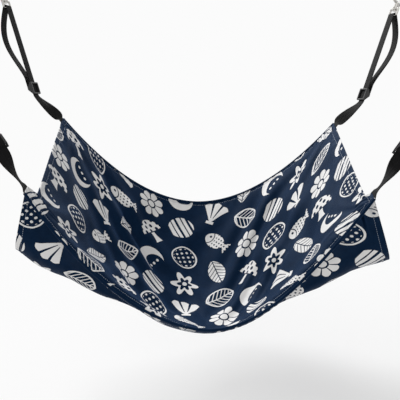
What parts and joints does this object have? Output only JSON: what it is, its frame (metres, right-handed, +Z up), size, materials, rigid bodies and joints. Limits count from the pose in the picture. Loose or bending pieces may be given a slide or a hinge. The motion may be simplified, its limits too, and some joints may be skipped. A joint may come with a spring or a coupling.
{
  "type": "cat hammock",
  "caption": "Hanging cat hammock: a printed cotton sleeve sling with open ends, hung at its corners by adjustable webbing straps with sliders and swivel snap hooks.",
  "frame": {"origin": "the middle of the four hanging points, level with the bars that the hooks close on", "axes": "+X to the right along the sling's length, -Y towards the front, which is the side nearest the camera, +Z up"},
  "size_m": [0.739, 0.4511, 0.5123],
  "materials": {
    "bed_cloth": "navy cotton with an off-white print",
    "lower_cloth": "navy cotton with an off-white print",
    "webbing": "black woven webbing",
    "slider_plastic": "moulded black plastic",
    "hook_metal": "nickel plated",
    "spring_steel": "plain steel"
  },
  "bodies": {
    "sling": {"top_panel": "bed_cloth", "bottom_panel": "lower_cloth", "anchor_front_left": "webbing", "anchor_front_right": "webbing", "anchor_back_left": "webbing", "anchor_back_right": "webbing"},
    "strap_front_left": {"strap_front_left": "webbing", "return_front_left": "webbing"},
    "slider_front_left": {"slider_front_left": "slider_plastic", "fold_front_left": "webbing"},
    "eye_front_left": {"eye_front_left": "hook_metal"},
    "hook_front_left": {"hook_front_left": "hook_metal", "spring_front_left": "spring_steel", "rivet_front_left": "spring_steel"},
    "gate_front_left": {"gate_front_left": "hook_metal"},
    "strap_front_right": {"strap_front_right": "webbing", "return_front_right": "webbing"},
    "slider_front_right": {"slider_front_right": "slider_plastic", "fold_front_right": "webbing"},
    "eye_front_right": {"eye_front_right": "hook_metal"},
    "hook_front_right": {"hook_front_right": "hook_metal", "spring_front_right": "spring_steel", "rivet_front_right": "spring_steel"},
    "gate_front_right": {"gate_front_right": "hook_metal"},
    "strap_back_left": {"strap_back_left": "webbing", "return_back_left": "webbing"},
    "slider_back_left": {"slider_back_left": "slider_plastic", "fold_back_left": "webbing"},
    "eye_back_left": {"eye_back_left": "hook_metal"},
    "hook_back_left": {"hook_back_left": "hook_metal", "spring_back_left": "spring_steel", "rivet_back_left": "spring_steel"},
    "gate_back_left": {"gate_back_left": "hook_metal"},
    "strap_back_right": {"strap_back_right": "webbing", "return_back_right": "webbing"},
    "slider_back_right": {"slider_back_right": "slider_plastic", "fold_back_right": "webbing"},
    "eye_back_right": {"eye_back_right": "hook_metal"},
    "hook_back_right": {"hook_back_right": "hook_metal", "spring_back_right": "spring_steel", "rivet_back_right": "spring_steel"},
    "gate_back_right": {"gate_back_right": "hook_metal"}
  },
  "joints": [
    {"name": "swing_front_left", "type": "hinge", "parent": "sling", "child": "strap_front_left", "pos_m": [-0.25289, -0.14997, -0.21346], "axis": [0.1031, -0.9773, -0.1851], "range_deg": [-45, 45]},
    {"name": "slide_front_left", "type": "slide", "parent": "strap_front_left", "child": "slider_front_left", "axis": [-0.3445, -0.2166, 0.9134], "range_m": [0, 0.06], "deforming": ["return_front_left"]},
    {"name": "rock_front_left", "type": "hinge", "parent": "strap_front_left", "child": "eye_front_left", "pos_m": [-0.32035, -0.19535, -0.02982], "axis": [-0.7914, -0.4564, -0.4067], "range_deg": [-60, 60]},
    {"name": "swivel_front_left", "type": "hinge", "parent": "eye_front_left", "child": "hook_front_left", "pos_m": [-0.32414, -0.19774, -0.01977], "axis": [0.3445, 0.2166, -0.9134], "continuous": true},
    {"name": "gate_front_left", "type": "hinge", "parent": "hook_front_left", "child": "gate_front_left", "pos_m": [-0.32448, -0.20514, -0.01081], "axis": [-0.7914, -0.4564, -0.4067], "range_deg": [0, 35], "stiffness_Nm_per_rad": 0.01, "springref_deg": -17.19},
    {"name": "swing_front_right", "type": "hinge", "parent": "sling", "child": "strap_front_right", "pos_m": [0.25297, -0.14998, -0.21353], "axis": [0.1078, 0.9771, 0.1833], "range_deg": [-45, 45]},
    {"name": "slide_front_right", "type": "slide", "parent": "strap_front_right", "child": "slider_front_right", "axis": [0.3439, -0.2166, 0.9137], "range_m": [0, 0.06], "deforming": ["return_front_right"]},
    {"name": "rock_front_right", "type": "hinge", "parent": "strap_front_right", "child": "eye_front_right", "pos_m": [0.32037, -0.19536, -0.02983], "axis": [-0.7913, 0.457, 0.4062], "range_deg": [-60, 60]},
    {"name": "swivel_front_right", "type": "hinge", "parent": "eye_front_right", "child": "hook_front_right", "pos_m": [0.32416, -0.19774, -0.01978], "axis": [0.3439, -0.2166, 0.9137], "continuous": true},
    {"name": "gate_front_right", "type": "hinge", "parent": "hook_front_right", "child": "gate_front_right", "pos_m": [0.32448, -0.20514, -0.01082], "axis": [-0.7913, 0.457, 0.4062], "range_deg": [0, 35], "stiffness_Nm_per_rad": 0.01, "springref_deg": -17.19},
    {"name": "swing_back_left", "type": "hinge", "parent": "sling", "child": "strap_back_left", "pos_m": [-0.25333, 0.14998, -0.21388], "axis": [-0.1273, -0.9772, 0.1701], "range_deg": [-45, 45]},
    {"name": "slide_back_left", "type": "slide", "parent": "strap_back_left", "child": "slider_back_left", "axis": [-0.3014, 0.3628, 0.8818], "range_m": [0, 0.06], "deforming": ["return_back_left"]},
    {"name": "rock_back_left", "type": "hinge", "parent": "strap_back_left", "child": "eye_back_left", "pos_m": [-0.34877, 0.22048, -0.02976], "axis": [0.2272, 0.9255, -0.3032], "range_deg": [-60, 60]},
    {"name": "swivel_back_left", "type": "hinge", "parent": "eye_back_left", "child": "hook_back_left", "pos_m": [-0.35208, 0.22447, -0.02006], "axis": [0.3014, -0.3628, -0.8818], "continuous": true},
    {"name": "gate_back_left", "type": "hinge", "parent": "hook_back_left", "child": "gate_back_left", "pos_m": [-0.36071, 0.22872, -0.01353], "axis": [0.2272, 0.9255, -0.3032], "range_deg": [0, 35], "stiffness_Nm_per_rad": 0.01, "springref_deg": -17.19},
    {"name": "swing_back_right", "type": "hinge", "parent": "sling", "child": "strap_back_right", "pos_m": [0.25334, 0.14998, -0.21389], "axis": [-0.1277, 0.9772, -0.1697], "range_deg": [-45, 45]},
    {"name": "slide_back_right", "type": "slide", "parent": "strap_back_right", "child": "slider_back_right", "axis": [0.3013, 0.3628, 0.8818], "range_m": [0, 0.06], "deforming": ["return_back_right"]},
    {"name": "rock_back_right", "type": "hinge", "parent": "strap_back_right", "child": "eye_back_right", "pos_m": [0.34877, 0.22048, -0.02976], "axis": [0.2272, -0.9255, 0.3032], "range_deg": [-60, 60]},
    {"name": "swivel_back_right", "type": "hinge", "parent": "eye_back_right", "child": "hook_back_right", "pos_m": [0.35208, 0.22447, -0.02006], "axis": [0.3013, 0.3628, 0.8818], "continuous": true},
    {"name": "gate_back_right", "type": "hinge", "parent": "hook_back_right", "child": "gate_back_right", "pos_m": [0.36071, 0.22872, -0.01353], "axis": [0.2272, -0.9255, 0.3032], "range_deg": [0, 35], "stiffness_Nm_per_rad": 0.01, "springref_deg": -17.19}
  ]
}
